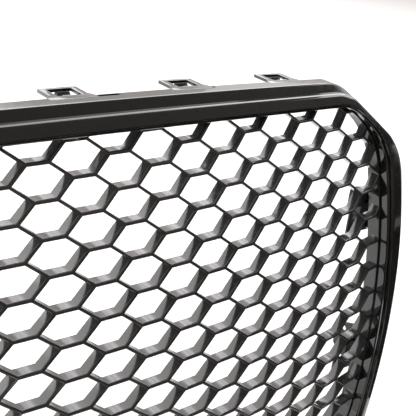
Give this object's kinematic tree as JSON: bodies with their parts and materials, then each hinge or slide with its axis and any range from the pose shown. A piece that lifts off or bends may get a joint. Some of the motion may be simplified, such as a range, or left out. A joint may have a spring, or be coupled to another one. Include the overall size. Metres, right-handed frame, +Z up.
{
  "type": "front grille",
  "caption": "Car front grille: a gloss black surround with a clipped trim band, a curved honeycomb insert screwed in behind, sprung top clips, lower hooks and side brackets.",
  "frame": {"origin": "middle of the line of the four lower lug holes, at the middle of the lugs' thickness", "axes": "+X runs across the car along the row of cells, +Y points rearwards into the car, +Z up; the front looks along -Y"},
  "size_m": [0.876, 0.1987, 0.4366],
  "materials": {
    "gloss_black": "piano black, moulded and polished",
    "trim_black": "piano black, highest gloss",
    "insert_black": "gloss black, straight from the mould, slightly rippled",
    "satin_black": "satin black nylon, fine grain",
    "steel": "zinc plated, bright"
  },
  "bodies": {
    "grille": {"surround_frame": "gloss_black", "trim_band": "trim_black", "honeycomb_insert": "insert_black", "top_clip_springs": "steel", "insert_screws": "steel", "trim_push_nuts": "steel", "upper_bracket_left": "satin_black", "upper_bracket_right": "satin_black", "lower_bracket_left": "satin_black", "lower_bracket_right": "satin_black", "bracket_screws": "steel"},
    "clip_arm_1": {"clip_arm_1": "satin_black"},
    "clip_arm_2": {"clip_arm_2": "satin_black"},
    "clip_arm_3": {"clip_arm_3": "satin_black"},
    "clip_arm_4": {"clip_arm_4": "satin_black"},
    "clip_arm_5": {"clip_arm_5": "satin_black"},
    "clip_arm_6": {"clip_arm_6": "satin_black"},
    "lower_hook_1": {"lower_hook_1": "gloss_black"},
    "lower_hook_2": {"lower_hook_2": "gloss_black"},
    "lower_hook_3": {"lower_hook_3": "gloss_black"},
    "lower_hook_4": {"lower_hook_4": "gloss_black"}
  },
  "joints": [
    {"name": "clip_arm_1_press", "type": "hinge", "parent": "grille", "child": "clip_arm_1", "pos_m": [-0.297, 0.12509, 0.42205], "axis": [1, 0, 0], "range_deg": [-14, 0], "stiffness_Nm_per_rad": 0.05},
    {"name": "clip_arm_2_press", "type": "hinge", "parent": "grille", "child": "clip_arm_2", "pos_m": [-0.175, 0.1191, 0.42613], "axis": [1, 0, 0], "range_deg": [-14, 0], "stiffness_Nm_per_rad": 0.05},
    {"name": "clip_arm_3_press", "type": "hinge", "parent": "grille", "child": "clip_arm_3", "pos_m": [-0.05, 0.11655, 0.42812], "axis": [1, 0, 0], "range_deg": [-14, 0], "stiffness_Nm_per_rad": 0.05},
    {"name": "clip_arm_4_press", "type": "hinge", "parent": "grille", "child": "clip_arm_4", "pos_m": [0.05, 0.11655, 0.42812], "axis": [1, 0, 0], "range_deg": [-14, 0], "stiffness_Nm_per_rad": 0.05},
    {"name": "clip_arm_5_press", "type": "hinge", "parent": "grille", "child": "clip_arm_5", "pos_m": [0.175, 0.1191, 0.42613], "axis": [1, 0, 0], "range_deg": [-14, 0], "stiffness_Nm_per_rad": 0.05},
    {"name": "clip_arm_6_press", "type": "hinge", "parent": "grille", "child": "clip_arm_6", "pos_m": [0.297, 0.12509, 0.42205], "axis": [1, 0, 0], "range_deg": [-14, 0], "stiffness_Nm_per_rad": 0.05},
    {"name": "lower_hook_1_flex", "type": "hinge", "parent": "grille", "child": "lower_hook_1", "pos_m": [-0.262, -0.00096, 0], "axis": [1, 0, 0], "range_deg": [0, 12], "stiffness_Nm_per_rad": 0.05},
    {"name": "lower_hook_2_flex", "type": "hinge", "parent": "grille", "child": "lower_hook_2", "pos_m": [-0.14, -0.01679, 0], "axis": [1, 0, 0], "range_deg": [0, 12], "stiffness_Nm_per_rad": 0.05},
    {"name": "lower_hook_3_flex", "type": "hinge", "parent": "grille", "child": "lower_hook_3", "pos_m": [0.14, -0.01679, 0], "axis": [1, 0, 0], "range_deg": [0, 12], "stiffness_Nm_per_rad": 0.05},
    {"name": "lower_hook_4_flex", "type": "hinge", "parent": "grille", "child": "lower_hook_4", "pos_m": [0.262, -0.00096, 0], "axis": [1, 0, 0], "range_deg": [0, 12], "stiffness_Nm_per_rad": 0.05}
  ]
}
